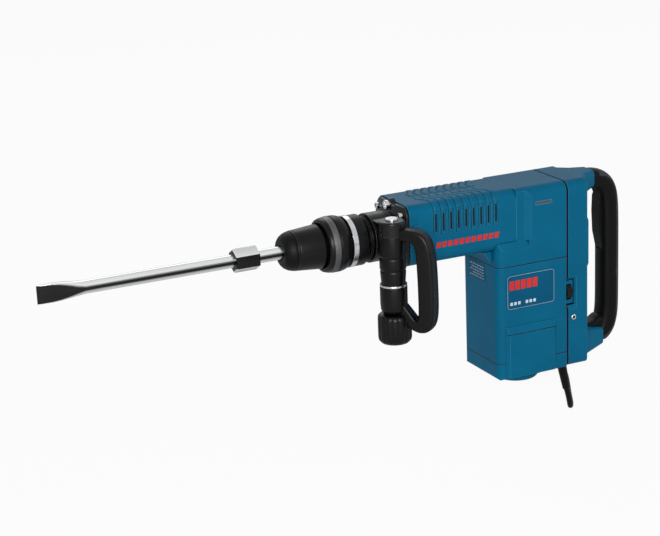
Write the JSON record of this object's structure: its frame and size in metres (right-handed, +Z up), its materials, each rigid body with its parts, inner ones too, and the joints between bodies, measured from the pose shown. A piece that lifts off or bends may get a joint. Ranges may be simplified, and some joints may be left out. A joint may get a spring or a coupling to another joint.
{
  "type": "electric jackhammer",
  "caption": "Electric demolition hammer with a flat chisel, D-shaped rear grip with trigger, upright motor housing, swivelling side handle and mains cord.",
  "frame": {"origin": "middle of the main grip's bar", "axes": "+X from the chisel's tip towards the main grip, along the hammer axis; +Z up; the speed wheel is on the -Y side"},
  "size_m": [0.883, 0.3854, 0.37],
  "materials": {
    "blue_plastic": "fine moulded texture",
    "black_plastic": "satin",
    "grip_rubber": "matt",
    "black_coated": "satin coating",
    "grey_plastic": "satin",
    "plate_blue": "printed plate, left blank",
    "steel": "ground",
    "bright_steel": "polished",
    "casting": "as cast",
    "iron": "laminated core",
    "copper": "enamelled winding",
    "carbon": "pressed carbon",
    "cord_rubber": "matt"
  },
  "bodies": {
    "housing": {"barrel_housing": "blue_plastic", "gear_housing": "blue_plastic", "side_inlays": "grey_plastic", "motor_housing": "blue_plastic", "bottom_cap": "blue_plastic", "brush_covers": "blue_plastic", "badge_plates": "plate_blue", "rating_plate": "grey_plastic", "seam_seal": "grip_rubber", "rear_shell": "blue_plastic", "rear_plate": "grey_plastic", "shell_screws": "steel", "service_lamp": "bright_steel", "electronics_module": "black_plastic", "main_grip": "grip_rubber", "trigger_pin": "steel", "switch_module": "black_plastic", "stator_core": "iron", "stator_windings": "copper", "carbon_brushes": "carbon", "brush_holders": "copper", "bearings": "steel", "gear_plate": "casting", "crankcase": "casting", "gear_case": "black_coated", "case_screws": "bright_steel", "cylinder": "steel", "damping_ring": "grip_rubber", "holder_bush": "copper", "neck_cover": "black_plastic", "steel_ring": "bright_steel", "cord_boot": "cord_rubber", "cord_lead": "cord_rubber", "cord_coil": "cord_rubber", "plug": "cord_rubber"},
    "armature": {"armature_shaft": "steel", "armature_core": "iron", "commutator": "copper", "cooling_fan": "black_plastic"},
    "crank": {"crank_gear": "steel", "crankshaft": "steel"},
    "piston": {"piston": "casting", "piston_pin": "steel"},
    "rod": {"connecting_rod": "casting", "crank_pin": "steel"},
    "striker": {"striker": "steel"},
    "anvil": {"anvil": "steel"},
    "tool_holder": {"tool_sleeve": "steel", "locking_rollers": "steel", "dust_cap": "grip_rubber", "locking_spring": "steel"},
    "locking_sleeve": {"locking_sleeve": "black_plastic"},
    "index_ring": {"index_ring": "black_plastic"},
    "chisel": {"chisel": "bright_steel"},
    "clamp": {"clamp_band": "black_coated"},
    "side_handle": {"side_handle": "black_plastic", "clamp_bolt": "bright_steel"},
    "knob": {"clamp_knob": "black_plastic"},
    "trigger": {"trigger": "grey_plastic"},
    "speed_wheel": {"speed_wheel": "black_plastic"}
  },
  "joints": [
    {"name": "motor_spin", "type": "hinge", "parent": "housing", "child": "armature", "pos_m": [-0.1565, 0, -0.05], "axis": [0, 0, 1], "continuous": true},
    {"name": "crank_spin", "type": "hinge", "parent": "housing", "child": "crank", "pos_m": [-0.1815, 0, 0.05], "axis": [0, 0, 1], "continuous": true},
    {"name": "piston_slide", "type": "slide", "parent": "housing", "child": "piston", "axis": [1, 0, 0], "range_m": [-0.0168, 0.0131]},
    {"name": "rod_swing", "type": "hinge", "parent": "piston", "child": "rod", "pos_m": [-0.24166, 0, 0.1], "axis": [0, 0, 1], "range_deg": [-28, 0]},
    {"name": "striker_slide", "type": "slide", "parent": "housing", "child": "striker", "axis": [1, 0, 0], "range_m": [-0.01, 0.006]},
    {"name": "anvil_slide", "type": "slide", "parent": "housing", "child": "anvil", "axis": [-1, 0, 0], "range_m": [0, 0.012]},
    {"name": "holder_turn", "type": "hinge", "parent": "housing", "child": "tool_holder", "pos_m": [-0.463, 0, 0.1], "axis": [1, 0, 0], "continuous": true},
    {"name": "chisel_slide", "type": "slide", "parent": "tool_holder", "child": "chisel", "axis": [-1, 0, 0], "range_m": [0, 0.012]},
    {"name": "locking_sleeve_slide", "type": "slide", "parent": "tool_holder", "child": "locking_sleeve", "axis": [1, 0, 0], "range_m": [0, 0.008], "stiffness_N_per_m": 1500, "springref_m": -0.006},
    {"name": "index_ring_slide", "type": "slide", "parent": "tool_holder", "child": "index_ring", "axis": [-1, 0, 0], "range_m": [0, 0.003], "stiffness_N_per_m": 2000, "springref_m": -0.003},
    {"name": "clamp_turn", "type": "hinge", "parent": "housing", "child": "clamp", "pos_m": [-0.378, 0, 0.1], "axis": [1, 0, 0], "continuous": true},
    {"name": "side_handle_turn", "type": "hinge", "parent": "clamp", "child": "side_handle", "pos_m": [-0.378, -0.055, 0.1], "axis": [0, 0, 1], "range_deg": [-105, 5]},
    {"name": "knob_turn", "type": "hinge", "parent": "side_handle", "child": "knob", "pos_m": [-0.378, -0.055, -0.01], "axis": [0, 0, 1], "continuous": true},
    {"name": "trigger_press", "type": "hinge", "parent": "housing", "child": "trigger", "pos_m": [-0.01, 0, 0.108], "axis": [0, -1, 0], "range_deg": [0, 5], "stiffness_Nm_per_rad": 6, "springref_deg": -5.73},
    {"name": "speed_wheel_turn", "type": "hinge", "parent": "housing", "child": "speed_wheel", "pos_m": [-0.096, -0.0385, -0.016], "axis": [1, 0, 0], "range_deg": [0, 270]}
  ],
  "couplings": [
    {"joint": "crank_spin", "follows": "motor_spin", "ratio": -0.21212},
    {"joint": "anvil_slide", "follows": "chisel_slide", "ratio": 1}
  ]
}
